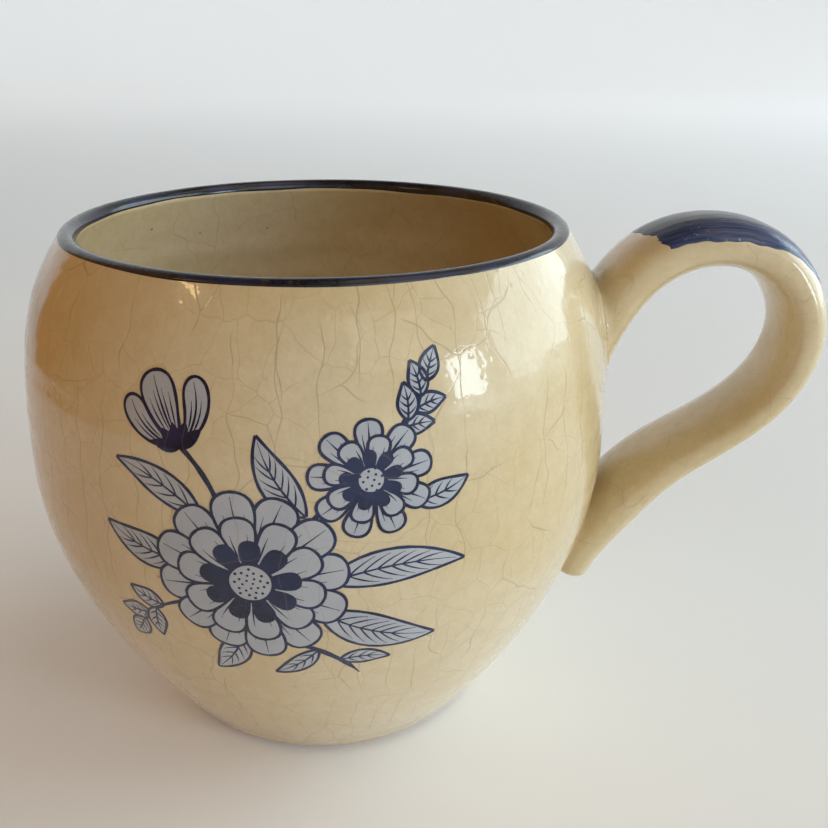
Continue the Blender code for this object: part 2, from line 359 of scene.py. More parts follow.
def quads(rows, columns, closed_rows, closed_columns):
    """Faces between the points of a grid that is numbered row by row."""
    r = np.arange(rows if closed_rows else rows - 1)[:, None]
    c = np.arange(columns if closed_columns else columns - 1)[None]
    r_next, c_next = (r + 1) % rows, (c + 1) % columns
    corners = (r * columns + c, r * columns + c_next, r_next * columns + c_next, r_next * columns + c)
    return np.stack(np.broadcast_arrays(*corners), axis=-1).reshape(-1, 4).tolist()


def fan(ring, centre):
    return [(ring[i], ring[(i + 1) % len(ring)], centre) for i in range(len(ring))]


def loop_shell(rows):
    """A closed shell from rings of points, where the last ring joins the first."""
    count, columns, _ = rows.shape
    return rows.reshape(-1, 3), quads(count, columns, True, True)


def capped_shell(rows):
    """A closed shell from rings of points, with a fan over the first ring and the last."""
    count, columns, _ = rows.shape
    points = np.vstack((rows.reshape(-1, 3), rows[0].mean(0)[None], rows[-1].mean(0)[None]))
    first = list(range(columns))
    last = [(count - 1) * columns + i for i in range(columns)]
    faces = quads(count, columns, False, True)
    faces += fan(first[::-1], count * columns) + fan(last, count * columns + 1)
    return points, faces


def thin_sheet(top, bottom):
    """A closed sheet from two grids of the same size, joined round their edges."""
    count, columns, _ = top.shape
    size = count * columns
    points = np.vstack((top.reshape(-1, 3), bottom.reshape(-1, 3)))
    upper = quads(count, columns, False, False)
    lower = [[index + size for index in face[::-1]] for face in upper]
    grid = np.arange(size).reshape(count, columns)
    rim = np.concatenate((grid[0, :-1], grid[:-1, -1], grid[-1, :0:-1], grid[:0:-1, 0])).tolist()
    walls = [
        (rim[(i + 1) % len(rim)], rim[i], rim[i] + size, rim[(i + 1) % len(rim)] + size)
        for i in range(len(rim))
    ]
    return points, upper + lower + walls


def joined(shells):
    """One list of points and faces from several shells."""
    points, faces, count = [], [], 0
    for some_points, some_faces in shells:
        points.append(some_points)
        faces += [[index + count for index in face] for face in some_faces]
        count += len(some_points)
    return np.vstack(points), faces


def built(name, points, faces, material):
    """A smooth object in the scene. Its points are in metres."""
    mesh = bpy.data.meshes.new(name)
    mesh.from_pydata(points, [], faces)
    mesh.shade_smooth()
    mesh.materials.append(material)
    made = bpy.data.objects.new(name, mesh)
    SCENE.collection.objects.link(made)
    return made


def piece(name, shell, material, nodes, sharp=None, uv=None):
    """A mesh that rides on the mug and stands for these CAD nodes."""
    points, faces = shell
    made = built(name, (np.asarray(points) * MM).tolist(), faces, material)
    mesh = made.data
    if uv is not None:
        corners = np.empty(len(mesh.loops), dtype=np.int32)
        mesh.loops.foreach_get("vertex_index", corners)
        layer = mesh.uv_layers.new(name="surface")
        layer.data.foreach_set("uv", np.asarray(uv, dtype=np.float32)[corners].ravel())
    mesh.update()
    if sharp is not None:
        mesh.set_sharp_from_angle(angle=math.radians(sharp))
    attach(made, "root")
    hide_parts(*nodes)
    return made


# ---------------- materials


WRAP_RADIUS = 48.0
STROKE_DARK_END = 15.0
GLOSS = {"Coat_Weight": 0.6, "Coat_Roughness": 0.035, "Specular_IOR_Level": 0.25}
STAIN = (0.20, 0.115, 0.05, 1)
HOLE_BROWN = (0.13, 0.07, 0.03, 1)


class Look:
    """A material being made: each call adds a shader node, with its values or links."""

    def __init__(self, name):
        self.material = bpy.data.materials.new(name)
        self.material.use_nodes = True
        self.tree = self.material.node_tree
        self.tree.nodes.clear()
        place = self.add("ShaderNodeTexCoord").outputs["Object"]
        self.place = self.vector("SCALE", place, 1 / MM)

    def add(self, kind, values=None, **settings):
        node = self.tree.nodes.new(kind)
        for key, value in settings.items():
            setattr(node, key, value)
        for key, value in (values or {}).items():
            if isinstance(value, bpy.types.NodeSocket):
                self.tree.links.new(value, node.inputs[key])
            else:
                node.inputs[key].default_value = value
        return node

    def math(self, operation, a, b=0.0, clamp=False):
        node = self.add("ShaderNodeMath", {0: a, 1: b}, operation=operation, use_clamp=clamp)
        return node.outputs[0]

    def times(self, a, b):
        return self.math("MULTIPLY", a, b)

    def vector(self, operation, a, b):
        key = "Scale" if operation == "SCALE" else 1
        return self.add("ShaderNodeVectorMath", {0: a, key: b}, operation=operation).outputs[0]

    def cells(self, size, vector=None, **settings):
        values = {"Vector": vector or self.place, "Scale": 1 / size}
        return self.add("ShaderNodeTexVoronoi", values, **settings).outputs

    def noise(self, size, detail=3.0, vector=None, rough=0.55):
        values = {"Vector": vector or self.place, "Scale": 1 / size, "Detail": detail, "Roughness": rough}
        return self.add("ShaderNodeTexNoise", values).outputs["Fac"]

    def ramp(self, value, low, high, start=0.0, end=1.0):
        values = {"Value": value, "From Min": low, "From Max": high, "To Min": start, "To Max": end}
        node = self.add("ShaderNodeMapRange", values, interpolation_type="SMOOTHSTEP")
        return node.outputs[0]

    def patches(self, size, detail, low, high, start=0.0, end=1.0):
        """Noise with its contrast raised: start below the low level, and end above the high one."""
        return self.ramp(self.noise(size, detail), low, high, start, end)

    def mix(self, share, a, b, blend="MIX"):
        node = self.add("ShaderNodeMix", data_type="RGBA", blend_type=blend)
        for index, value in ((0, share), (6, a), (7, b)):
            if isinstance(value, bpy.types.NodeSocket):
                self.tree.links.new(value, node.inputs[index])
            else:
                node.inputs[index].default_value = value
        return node.outputs[2]

    def wrapped(self):
        """The place rolled out flat round the cup. Its seam is on the handle's side."""
        parts = self.add("ShaderNodeSeparateXYZ", {0: self.place}).outputs
        back_x = self.times(parts["X"], -1.0)
        back_y = self.times(parts["Y"], -1.0)
        turn = self.math("ARCTAN2", back_y, back_x)
        round_cup = self.times(turn, WRAP_RADIUS)
        flat = self.add("ShaderNodeCombineXYZ", {"X": round_cup, "Y": parts["Z"]})
        return flat.outputs[0]

    def uneven_skin(self):
        """The height of a fired glaze's skin in millimetres: slow swells under orange peel."""
        swell = self.times(self.noise(13.0, 1.0), 0.16)
        peel = self.times(self.noise(3.2, 2.0), 0.060)
        ripple = self.times(self.noise(1.2, 1.0), 0.012)
        return self.math("ADD", swell, self.math("ADD", peel, ripple))

    def finish(self, colour, roughness, height=None, **constants):
        shader = self.add("ShaderNodeBsdfPrincipled", {"Base Color": colour, "Roughness": roughness})
        for key, value in constants.items():
            shader.inputs[key.replace("_", " ")].default_value = value
        if height is not None:
            bump = self.add("ShaderNodeBump", {"Height": height, "Distance": MM, "Strength": 1.0})
            self.tree.links.new(bump.outputs[0], shader.inputs["Normal"])
            self.tree.links.new(bump.outputs[0], shader.inputs["Coat Normal"])
        output = self.add("ShaderNodeOutputMaterial")
        self.tree.links.new(shader.outputs[0], output.inputs["Surface"])
        return self.material


def wandering(look, flat, bend):
    """The flat place, shifted about by this many millimetres."""
    wander = look.add("ShaderNodeTexNoise", {"Vector": flat, "Scale": 0.6 / bend, "Detail": 1.2})
    offset = look.vector("SUBTRACT", wander.outputs["Color"], (0.5, 0.5, 0.5))
    return look.vector("ADD", flat, look.vector("SCALE", offset, bend))


def upright_cracks(look, flat, spacing, line, bend):
    """Long cracks that run down the wall, an uneven distance apart: 1 on a line, 0 beside it."""
    across = look.add("ShaderNodeSeparateXYZ", {0: wandering(look, flat, bend)}).outputs["X"]
    settings = {"feature": "DISTANCE_TO_EDGE", "voronoi_dimensions": "1D"}
    lanes = look.add("ShaderNodeTexVoronoi", {"W": across, "Scale": 1 / spacing}, **settings)
    return look.ramp(lanes.outputs["Distance"], 0.0, line / spacing, 1.0, 0.0)


def crack_net(look, flat, cell, line, bend, rolled):
    """A net of cracks round cells of this size: 1 on a line, 0 inside a cell."""
    settings = {"feature": "DISTANCE_TO_EDGE", "voronoi_dimensions": "2D" if rolled else "3D"}
    cells = look.cells(cell, wandering(look, flat, bend), **settings)
    return look.ramp(cells["Distance"], 0.0, line / cell, 1.0, 0.0)


def crazing(look, rolled):
    """The whole crackle of the glaze: long upright cracks, a wide net and patches of a fine one."""
    flat = look.wrapped() if rolled else look.place
    gaps = look.patches(9.0, 2.0, 0.40, 0.60)
    wide = look.times(crack_net(look, flat, 12.0, 0.17, 4.0, rolled), gaps)
    patches = look.patches(19.0, 1.5, 0.45, 0.58)
    fine = look.times(crack_net(look, flat, 5.8, 0.12, 2.5, rolled), patches)
    cracks = look.math("MAXIMUM", wide, look.times(fine, 0.55))
    if rolled:
        elsewhere = look.vector("ADD", look.place, (31.0,) * 3)
        runs = look.ramp(look.noise(16.0, 2.0, elsewhere), 0.40, 0.56)
        upright = look.times(upright_cracks(look, flat, 5.2, 0.15, 5.0), runs)
        cracks = look.math("MAXIMUM", cracks, upright)
    return cracks


def glaze(name, light, dark, craze, rolled):
    """Thick clear-over-cream glaze: crazed, mottled, pin-holed and gently uneven."""
    look = Look(name)
    drift = look.patches(34.0, 2.0, 0.32, 0.68)
    mottle = look.patches(2.2, 4.0, 0.3, 0.7)
    fine = look.patches(0.5, 2.0, 0.25, 0.75)
    toned = look.mix(drift, dark, light)
    cloud = look.mix(mottle, (0.96, 0.95, 0.925, 1), (1.02, 1.02, 1.03, 1))
    grain = look.mix(fine, (0.975, 0.97, 0.96, 1), (1.02, 1.02, 1.02, 1))
    for shade in (cloud, grain):
        toned = look.mix(1.0, toned, shade, "MULTIPLY")
    cracks = crazing(look, rolled)
    stain = look.times(cracks, craze)
    toned = look.mix(stain, toned, STAIN)
    holes = look.cells(6.5)
    chosen = look.add("ShaderNodeSeparateColor", {0: holes["Color"]}).outputs[0]
    hole_size = look.ramp(chosen, 0.70, 1.0, 0.001, 0.062)
    hole = look.math("SUBTRACT", 1.0, look.math("DIVIDE", holes["Distance"], hole_size), True)
    hole = look.ramp(hole, 0.0, 0.5)
    toned = look.mix(look.times(hole, 0.75), toned, HOLE_BROWN)
    height = look.uneven_skin()
    pit = look.ramp(look.cells(1.9)["Distance"], 0.06, 0.30, 1.0, 0.0)
    pitted = look.patches(9.0, 2.0, 0.42, 0.58)
    for dip, depth in ((look.times(pit, pitted), 0.030), (cracks, 0.010), (hole, 0.04)):
        height = look.math("SUBTRACT", height, look.times(dip, depth))
    rough = look.patches(5.0, 3.0, 0.3, 0.7, 0.16, 0.24)
    return look.finish(toned, rough, height, **GLOSS)


def band_glaze(name):
    """Brushed dark blue-black glaze that thins to brown in patches."""
    look = Look(name)
    streak = look.patches(9.0, 4.0, 0.35, 0.68)
    fine = look.patches(1.1, 4.0, 0.35, 0.7)
    deep = look.mix(streak, (0.008, 0.009, 0.016, 1), (0.026, 0.033, 0.075, 1))
    worn = look.mix(look.times(fine, 0.6), deep, (0.030, 0.022, 0.020, 1))
    patch = look.ramp(look.noise(4.2, 3.0, rough=0.7), 0.60, 0.76)
    toned = look.mix(look.times(patch, 0.4), worn, (0.11, 0.065, 0.035, 1))
    height = look.times(look.noise(2.4, 3.0), 0.05)
    rough = look.ramp(fine, 0.0, 1.0, 0.12, 0.24)
    return look.finish(toned, rough, height)


def stroke_glaze(name):
    """A loaded brush's single pass: charcoal over its first stretch, blue further along and towards its
    near side. The blue is partly the glaze's own and partly a painted highlight where the strap faces the
    lights.
    """
    look = Look(name)
    surface = look.add("ShaderNodeUVMap", uv_map="surface").outputs[0]
    parts = look.add("ShaderNodeSeparateXYZ", {0: surface}).outputs
    bristles = look.vector("MULTIPLY", surface, (0.16, 1.9, 1.0))
    streak = look.ramp(look.noise(1.0, 4.0, bristles), 0.34, 0.66)
    charcoal = look.mix(streak, (0.008, 0.009, 0.016, 1), (0.030, 0.034, 0.055, 1))
    blue = look.mix(streak, (0.030, 0.040, 0.100, 1), (0.062, 0.085, 0.185, 1))
    patch = look.times(look.math("SUBTRACT", look.noise(6.0, 3.0), 0.5), 0.9)
    # Blue over charcoal further along and on the near side: partly the glaze's own blue, partly painted
    # highlight where the strap faces the lights.
    far = look.math("ADD", look.ramp(parts["X"], STROKE_DARK_END - 6, STROKE_DARK_END + 8), patch)
    lit_near_side = look.ramp(parts["Y"], 8.5, 13.0)
    blue_and_painted_highlight = look.math("MAXIMUM", look.math("MAXIMUM", far, 0.0), lit_near_side, True)
    toned = look.mix(blue_and_painted_highlight, charcoal, blue)
    specks = look.patches(0.7, 2.0, 0.66, 0.74)
    specks = look.times(specks, look.patches(5.0, 1.0, 0.45, 0.6))
    toned = look.mix(look.times(specks, 0.6), toned, (0.42, 0.38, 0.34, 1))
    height = look.times(look.noise(1.0, 3.0, bristles), 0.05)
    height = look.math("ADD", height, look.times(look.noise(3.4, 2.0), 0.055))
    rough = look.ramp(streak, 0.0, 1.0, 0.14, 0.26)
    return look.finish(toned, rough, height)


def ink(name, thin, thick, grain):
    """Printed colour under the glaze, slightly starved in places."""
    look = Look(name)
    worn = look.ramp(look.noise(0.8, 4.0, rough=0.7), 0.38, 0.66)
    broad = look.patches(9.0, 2.0, 0.35, 0.65)
    toned = look.mix(broad, thick, thin)
    toned = look.mix(look.times(worn, grain), toned, thin)
    cracks = crazing(look, True)
    toned = look.mix(look.times(cracks, 0.22), toned, (0.22, 0.17, 0.12, 1))
    rough = look.ramp(worn, 0.0, 1.0, 0.16, 0.24)
    return look.finish(toned, rough, look.uneven_skin(), **GLOSS)


def clay(name):
    """Bare fired clay: buff and sandy, with darker grains."""
    look = Look(name)
    tone = look.patches(11.0, 3.0, 0.3, 0.7)
    toned = look.mix(tone, (0.40, 0.25, 0.14, 1), (0.56, 0.38, 0.23, 1))
    sand = look.patches(0.45, 3.0, 0.35, 0.7)
    toned = look.mix(1.0, toned, look.mix(sand, (0.84, 0.82, 0.79, 1), (1.05, 1.05, 1.04, 1)), "MULTIPLY")
    grain = look.ramp(look.cells(1.7)["Distance"], 0.10, 0.20, 1.0, 0.0)
    toned = look.mix(look.times(grain, 0.5), toned, (0.19, 0.10, 0.05, 1))
    height = look.math("ADD", look.times(sand, 0.03), look.times(grain, -0.04))
    return look.finish(toned, look.ramp(sand, 0.0, 1.0, 0.72, 0.9), height)


CREAM_LIGHT = (0.700, 0.575, 0.372, 1)
CREAM_DARK = (0.640, 0.495, 0.275, 1)
BOWL_GLAZE = glaze("cream_glaze_bowl", CREAM_LIGHT, CREAM_DARK, 0.36, True)
LINER_GLAZE = glaze("cream_glaze_inside", CREAM_LIGHT, CREAM_DARK, 0.20, False)
PLAIN_GLAZE = glaze("cream_glaze_handle", CREAM_LIGHT, CREAM_DARK, 0.16, False)
BAND_GLAZE = band_glaze("navy_glaze_band")
STROKE_GLAZE = stroke_glaze("navy_glaze_stroke")
PALE_INK = ink("blue_print_fill", (0.46, 0.47, 0.50, 1), (0.40, 0.42, 0.47, 1), 0.35)
DARK_INK = ink("blue_print_line", (0.016, 0.026, 0.085, 1), (0.004, 0.007, 0.030, 1), 0.45)
CLAY = clay("bare_clay_body")


# ---------------- the bowl


CLOSE_SPREAD = 21.0
CLOSE_STEP = 0.55
FAR_COLUMNS = 212


def columns_round():
    """Azimuths round the cup, closer together where the strap meets it."""
    near = np.arange(-CLOSE_SPREAD, CLOSE_SPREAD, CLOSE_STEP)
    far = np.linspace(CLOSE_SPREAD, 360.0 - CLOSE_SPREAD, FAR_COLUMNS + 1)[:-1]
    return np.radians(np.concatenate((near, far)))


AZIMUTHS = columns_round()


def lathe(path, normals, lift, rings=1.0):
    """Rings of points round the cup, one for each point of the path."""
    lift = np.broadcast_to(np.asarray(lift, float), (len(path),))[:, None]
    shape = (len(path), len(AZIMUTHS))
    spread = np.broadcast_to(path[:, None], shape + (2,))
    turned = np.broadcast_to(normals[:, None], shape + (2,))
    return bowl_points(np.broadcast_to(AZIMUTHS, shape), spread, turned, lift, rings)


def blended_to_strap(rows, path):
    """The outer coat's points, with the glaze drawn up where it runs into the strap."""
    moved = rows.copy()
    beside = np.abs(np.angle(np.exp(1j * AZIMUTHS))) < math.radians(CLOSE_SPREAD - 0.5)
    azimuths, radii = AZIMUTHS[beside], path[:, :1]
    round_wall = (radii * np.cos(azimuths), radii * np.sin(azimuths), path[:, 1:] + 0.0 * azimuths)
    flat = np.stack(round_wall, axis=-1).reshape(-1, 3)
    shift = fused(flat, wall_distance, strap_distance) - flat
    moved[:, beside] += shift.reshape(len(path), -1, 3)
    return moved


def lip_arc(first, last, step):
    """The lip's points and normals between two angles in degrees: 0 faces out and 180 in."""
    return lip_points(np.radians(np.arange(first, last, step)))


def make_outer_coat():
    """The outside glaze: its face, its edge at the foot, its back and its end under the band."""
    top, top_normals = lip_arc(86.0, 36.0, -5.0)
    side_normals = left_of(OUTSIDE)
    shown = blended_to_strap(lathe(OUTSIDE, side_normals, 0.0), OUTSIDE)
    lifts = np.linspace(-0.12, -COAT, 3)
    edge = np.repeat(OUTSIDE[-1][None], 3, axis=0) + np.array((-0.02, -0.05)) * np.arange(3)[:, None]
    edge_rows = lathe(edge, np.repeat(side_normals[-1][None], 3, axis=0), lifts, 0.0)
    back = OUTSIDE[::-4]
    behind = lathe(back, side_normals[::-4], -COAT, 0.0)
    cap_rows = lathe(top[::-3], top_normals[::-3], -COAT, 0.0)
    rows = np.concatenate((lathe(top, top_normals, 0.0), shown, edge_rows, behind, cap_rows))
    piece("outer_coat", loop_shell(rows), BOWL_GLAZE, ["outer_glaze"])


def make_liner_coat():
    """The inside glaze, with the shallow rings that the potter's fingers left."""
    top, top_normals = lip_arc(210.0, 124.0, -5.0)
    path = np.vstack((INSIDE[1:], top))
    normals = np.vstack((left_of(INSIDE)[1:], top_normals))
    lift = 0.10 * smooth((path[:, 1] - 8) / 6) * np.sin(path[:, 1] * 0.9)
    lift *= smooth((80 - path[:, 1]) / 10)
    rows = np.concatenate((lathe(path, normals, lift, 0.0), lathe(path[::-1], normals[::-1], -COAT, 0.0)))
    piece("liner_coat", capped_shell(rows), LINER_GLAZE, ["liner_glaze"])


BAND_START = 25.0
BAND_END = 190.0


def make_band():
    """The painted lip band: a hand-drawn width, a rounded build-up at each edge."""
    steps = np.linspace(0.0, 1.0, 40)
    a = AZIMUTHS
    outer = BAND_START + 3.0 * np.sin(2 * a + 1.0) + 2.2 * np.sin(5 * a + 0.3) + 1.4 * np.sin(11 * a + 2.0)
    inner = BAND_END + 5.0 * np.sin(2 * a + 0.2) + 3.5 * np.sin(7 * a) + 1.8 * np.sin(17 * a + 1.0)
    turns = np.radians(outer[None] + (inner - outer)[None] * steps[:, None])
    edge = np.minimum(steps, 1 - steps)
    lift = 0.09 * smooth(edge / 0.08) - 0.03
    lift = lift[:, None] + 0.012 * np.sin(9 * a + 4 * steps[:, None])
    points, normals = lip_points(turns)
    azimuth = np.broadcast_to(a, turns.shape)
    shown = bowl_points(azimuth, points, normals, lift, 0.0)
    under = bowl_points(azimuth[::-5], points[::-5], normals[::-5], -BAND_DEPTH, 0.0)
    piece("lip_band", loop_shell(np.concatenate((shown, under))), BAND_GLAZE, ["rim_band"])


def make_clay_body():
    """The clay between the coats, closed underneath just above the foot."""
    side_normals = left_of(OUTSIDE)
    inside_normals = left_of(INSIDE)
    top, top_normals = lip_arc(205.0, 36.0, -14.0)
    down = OUTSIDE[OUTSIDE[:, 1] > SHOULDER_START[1] + 0.4]
    path = np.vstack((INSIDE[1::3], top, down[::2]))
    normals = np.vstack((inside_normals[1::3], top_normals, side_normals[: len(down)][::2]))
    rows = lathe(path, normals, -CLAY_DEPTH, 0.0)
    radii = np.array((27.4, 20.0, 12.0, 4.0))
    under = np.column_stack((radii, np.full(4, FOOT_TOP + 0.3)))
    rows = np.concatenate((rows, lathe(under, np.zeros((4, 2)), 0.0, 0.0)))
    piece("clay_body", capped_shell(rows), CLAY, ["bowl"], sharp=50)


def make_foot():
    """The turned foot: a flat disc with tool rings, a bevelled edge and a glaze line above it."""
    radii = np.concatenate((np.arange(0.6, 25.6, 0.35), np.linspace(25.6, 26.0, 4)))
    groove = 0.10 * (0.5 + 0.5 * np.sin(radii * 3.1)) ** 3 + 0.05 * (0.5 + 0.5 * np.sin(radii * 1.27)) ** 2
    rest = smooth((radii - 19.5) / 1.5)
    under = 0.22 * (1 - rest) + groove * (1 - 0.85 * rest)
    under -= under[(radii > 21)].min()
    under = np.maximum(under, 0.0)
    under[-4:] = (0.0, 0.03, 0.10, 0.25)
    side = np.array(((26.5, 0.45), (26.9, 0.75), (27.2, 1.05), (27.5, 1.5), (27.75, 2.1), (27.8, 2.8)))
    lid = np.array(((27.0, FOOT_TOP), (14.0, FOOT_TOP), (0.6, FOOT_TOP)))
    path = np.vstack((np.column_stack((radii, under)), side, lid))
    rows = lathe(path, np.zeros_like(path), 0.0, 0.0)
    rows[..., 2] = path[:, None, 1]
    piece("turned_foot", capped_shell(rows), CLAY, ["foot"], sharp=50)


make_outer_coat()
make_liner_coat()
make_band()
make_clay_body()
make_foot()


# ---------------- the handle


STATIONS = 420
ROUND = 76
SHARES = np.linspace(0.004, 1.0, STATIONS)
TURNS = np.linspace(0.0, 2 * math.pi, ROUND, endpoint=False)
ROOT_DEPTH = 1.3


def rooted(points):
    """Points no deeper than this under the wall's face, so that the strap stops in the clay."""
    for _ in range(3):
        depth, way = wall_distance(points)
        points = points + np.where(depth < -ROOT_DEPTH, -ROOT_DEPTH - depth, 0.0)[:, None] * way
    return points


def strap_grid():
    shares = np.broadcast_to(SHARES[:, None], (STATIONS, ROUND))
    turns = np.broadcast_to(TURNS[None], (STATIONS, ROUND))
    flat = strap_points(shares, turns, 0.0).reshape(-1, 3)
    flat = rooted(fused(flat, strap_distance, wall_distance))
    return flat.reshape(STATIONS, ROUND, 3)


def grid_normals(rows):
    """Outward unit normals of the strap's grid."""
    along = np.gradient(rows, axis=0)
    around = np.roll(rows, -1, axis=1) - np.roll(rows, 1, axis=1)
    normals = np.cross(around, along)
    normals /= np.maximum(np.linalg.norm(normals, axis=-1), 1e-9)[..., None]
    return normals


STRAP = strap_grid()
STRAP_NORMALS = grid_normals(STRAP)
FIRST_CUT = int(np.searchsorted(SHARES, UPPER_JOINT_END))
LAST_CUT = int(np.searchsorted(SHARES, LOWER_JOINT_START))


def with_normals(made, normals):
    """Keeps the whole strap's normals on one piece of it, so that no seam shows."""
    mesh = made.data
    plain = np.empty(len(mesh.vertices) * 3)
    mesh.vertices.foreach_get("normal", plain)
    plain = plain.reshape(-1, 3)
    plain[: len(normals)] = normals
    mesh.normals_split_custom_set_from_vertices(plain.tolist())


def make_strap():
    """The strap's coat and core between the joints, and the two glazed joints."""
    middle = slice(FIRST_CUT, LAST_CUT + 1)
    shown = STRAP[middle]
    inner = shown[::-2] - STRAP_NORMALS[middle][::-2] * COAT
    tube = loop_shell(np.concatenate((shown, inner)))
    made = piece("strap_coat", tube, PLAIN_GLAZE, ["handle_glaze"])
    with_normals(made, STRAP_NORMALS[middle].reshape(-1, 3))
    core = shown[::2] - STRAP_NORMALS[middle][::2] * CLAY_DEPTH
    piece("strap_core", capped_shell(core), CLAY, ["handle"])
    for name, part in (("upper_joint", slice(0, FIRST_CUT + 1)), ("lower_joint", slice(LAST_CUT, None))):
        made = piece(name + "_glazed", capped_shell(STRAP[part]), PLAIN_GLAZE, [name])
        with_normals(made, STRAP_NORMALS[part].reshape(-1, 3))


make_strap()


# ---------------- the brush stroke


STROKE_ROWS = 150
STROKE_COLUMNS = 56
STROKE_DEPTH = 0.15
BRISTLES = 34
# Where the stroke lies: shares of the strap, and the degrees round it of its near and far edges
STROKE_PLACES = (0.195, 0.24, 0.285, 0.34, 0.386, 0.43, 0.46)
STROKE_NEAR = (150.0, 157.0, 167.0, 167.0, 149.0, 130.0, 108.0)
STROKE_FAR = (24.0, 18.0, 12.0, 14.0, 24.0, 48.0, 78.0)


def bristle_marks(across, seed, reach):
    """Ragged ends of a brush mark: how far each bristle ran."""
    marks = np.random.RandomState(seed).normal(0.0, 1.0, BRISTLES)
    fine = np.interp(across * (BRISTLES - 1), np.arange(BRISTLES), marks)
    coarse = np.interp(across * 7, np.arange(BRISTLES), marks[::-1])
    return reach * (0.5 * fine + 0.6 * coarse)


def make_brush_stroke():
    """One pass of a loaded brush over the handle. Its UV map runs along the strap and across it."""
    across = np.linspace(0.0, 1.0, STROKE_COLUMNS)[None]
    along = np.linspace(0.0, 1.0, STROKE_ROWS)[:, None]
    start = 0.200 + 0.034 * across + bristle_marks(across, 4, 0.0022)
    end = 0.452 - 0.020 * (2 * across - 1) ** 2 + bristle_marks(across, 9, 0.0035)
    shares = start + (end - start) * along
    far = np.interp(shares, STROKE_PLACES, STROKE_FAR) + 2.5 * np.sin(shares * 95 + 1)
    near = np.interp(shares, STROKE_PLACES, STROKE_NEAR)
    near = near + 1.3 * np.sin(shares * 110) + 0.8 * np.sin(shares * 260 + 2)
    turns = np.radians(far + (near - far) * across)
    edge = np.minimum(np.minimum(across, 1 - across) * 12, np.minimum(along, 1 - along) * 25)
    lift = 0.02 + 0.05 * smooth(edge) + 0.012 * np.sin(across * 60 + 3 * along)
    top = strap_points(shares, turns, lift)
    bottom = strap_points(shares, turns, -STROKE_DEPTH)
    mapped = np.stack(((shares - 0.20) * STRAP_LENGTH, across * 16.0 + 0.0 * along), axis=-1)
    uv = np.vstack((mapped.reshape(-1, 2),) * 2)
    piece("brush_stroke", thin_sheet(top, bottom), STROKE_GLAZE, ["handle_brush_stroke"], uv=uv)


make_brush_stroke()


# ---------------- the print


PRINT_LIFT = 0.032
LAYER = 0.006
PRINT_DEPTH = 0.06
OUTLINE = 0.42
VEIN = 0.24
chance = np.random.RandomState(12)
fills, lines = [], []


def on_cup(flat, lift):
    """Artwork (x to the right round the cup, y up) laid on the wall."""
    return wall_points(PRINT_AZIMUTH + flat[..., 0] / PRINT_WRAP, PRINT_HEIGHT + flat[..., 1], lift)


def lay(sheets, flat, layer, above):
    """Adds a thin sheet of print. Higher layers lie over lower ones."""
    lift = PRINT_LIFT + LAYER * (2 * layer + above)
    sheets.append(thin_sheet(on_cup(flat, lift), on_cup(flat, lift - PRINT_DEPTH)))


def ribbon(path, width, layer, start_taper=0.0, end_taper=0.0):
    """A printed line of nearly even width, thinned towards its ends where asked."""
    path = respaced(np.asarray(path, float), 0.42)
    side = left_of(path)
    share = np.linspace(0.0, 1.0, len(path))
    half = width / 2 * (1 + 0.10 * np.sin(share * len(path) * 0.6 + chance.uniform(0, 6)))
    if start_taper:
        half = half * (0.25 + 0.75 * smooth(share / start_taper))
    if end_taper:
        half = half * (0.25 + 0.75 * smooth((1 - share) / end_taper))
    flat = path[:, None] + side[:, None] * half[:, None, None] * np.array((-1.0, 0.0, 1.0))[None, :, None]
    lay(lines, flat, layer, 1)


def curve(start, end, bend, steps=24):
    """A bowed line from start to end. A positive bend bows it to the left."""
    start, end = np.array(start, float), np.array(end, float)
    across = np.array((start[1] - end[1], end[0] - start[0]))
    t = np.linspace(0.0, 1.0, steps + 1)[:, None]
    pull = (start + end) / 2 + across * bend
    return start * (1 - t) ** 2 + pull * 2 * t * (1 - t) + end * t**2


def leaf_shape(t):
    return np.sin(math.pi * t**0.8) ** 0.9


def petal_shape(t):
    return t**0.6 * np.sqrt(np.maximum(1 - t**5, 0.0)) * 1.12


def disc_shape(t):
    return 2 * np.sqrt(np.maximum(t * (1 - t), 0.0))


def blade(start, end, half_width, bend, shape, layer, filled="pale", veins=(), mid=True, rim=OUTLINE):
    """A leaf or petal: a filled shape along a bowed spine, its outline and its veins."""
    t = 0.5 - 0.5 * np.cos(np.linspace(0.0, math.pi, 19))
    spine = curve(start, end, bend, 18)
    spine = np.column_stack([np.interp(t, np.linspace(0, 1, 19), spine[:, k]) for k in (0, 1)])
    side = left_of(spine)
    half = half_width * shape(t)[:, None]
    spread = np.linspace(-1.0, 1.0, 7)[None, :, None]
    flat = spine[:, None] + side[:, None] * half[:, None] * spread
    lay(fills if filled == "pale" else lines, flat, layer, 0)
    if rim:
        ribbon(spine + side * half, rim, layer)
        ribbon(spine - side * half, rim, layer)
    if mid:
        ribbon(spine[: int(len(t) * 0.86)], VEIN * 1.25, layer, 0.0, 0.5)
    for place in veins:
        first, last = 0.14, 0.78 - 0.12 * abs(place)
        chosen = (t > first) & (t < last)
        fanned = spine + side * half * place
        ribbon(fanned[chosen], VEIN, layer, 0.3, 0.6)


def leaf(start, end, half_width, bend, layer, count):
    """A blade with short veins that leave its middle towards its edges."""
    blade(start, end, half_width, bend, leaf_shape, layer)
    t = np.linspace(0.0, 1.0, 41)
    spine = curve(start, end, bend, 40)
    side = left_of(spine)
    for i in range(count):
        low = 0.16 + 0.58 * i / count
        high = min(low + 0.20, 0.95)
        a, b = int(low * 40), int(high * 40)
        reach = half_width * leaf_shape(t[b]) * 0.78
        for way in (-1, 1):
            tip = spine[b] + side[b] * reach * way
            ribbon(curve(spine[a], tip, 0.10 * way), VEIN, layer, 0.0, 0.6)


def from_polar(centre, radius, degrees):
    angle = math.radians(degrees)
    return np.array(centre) + radius * np.array((math.cos(angle), math.sin(angle)))


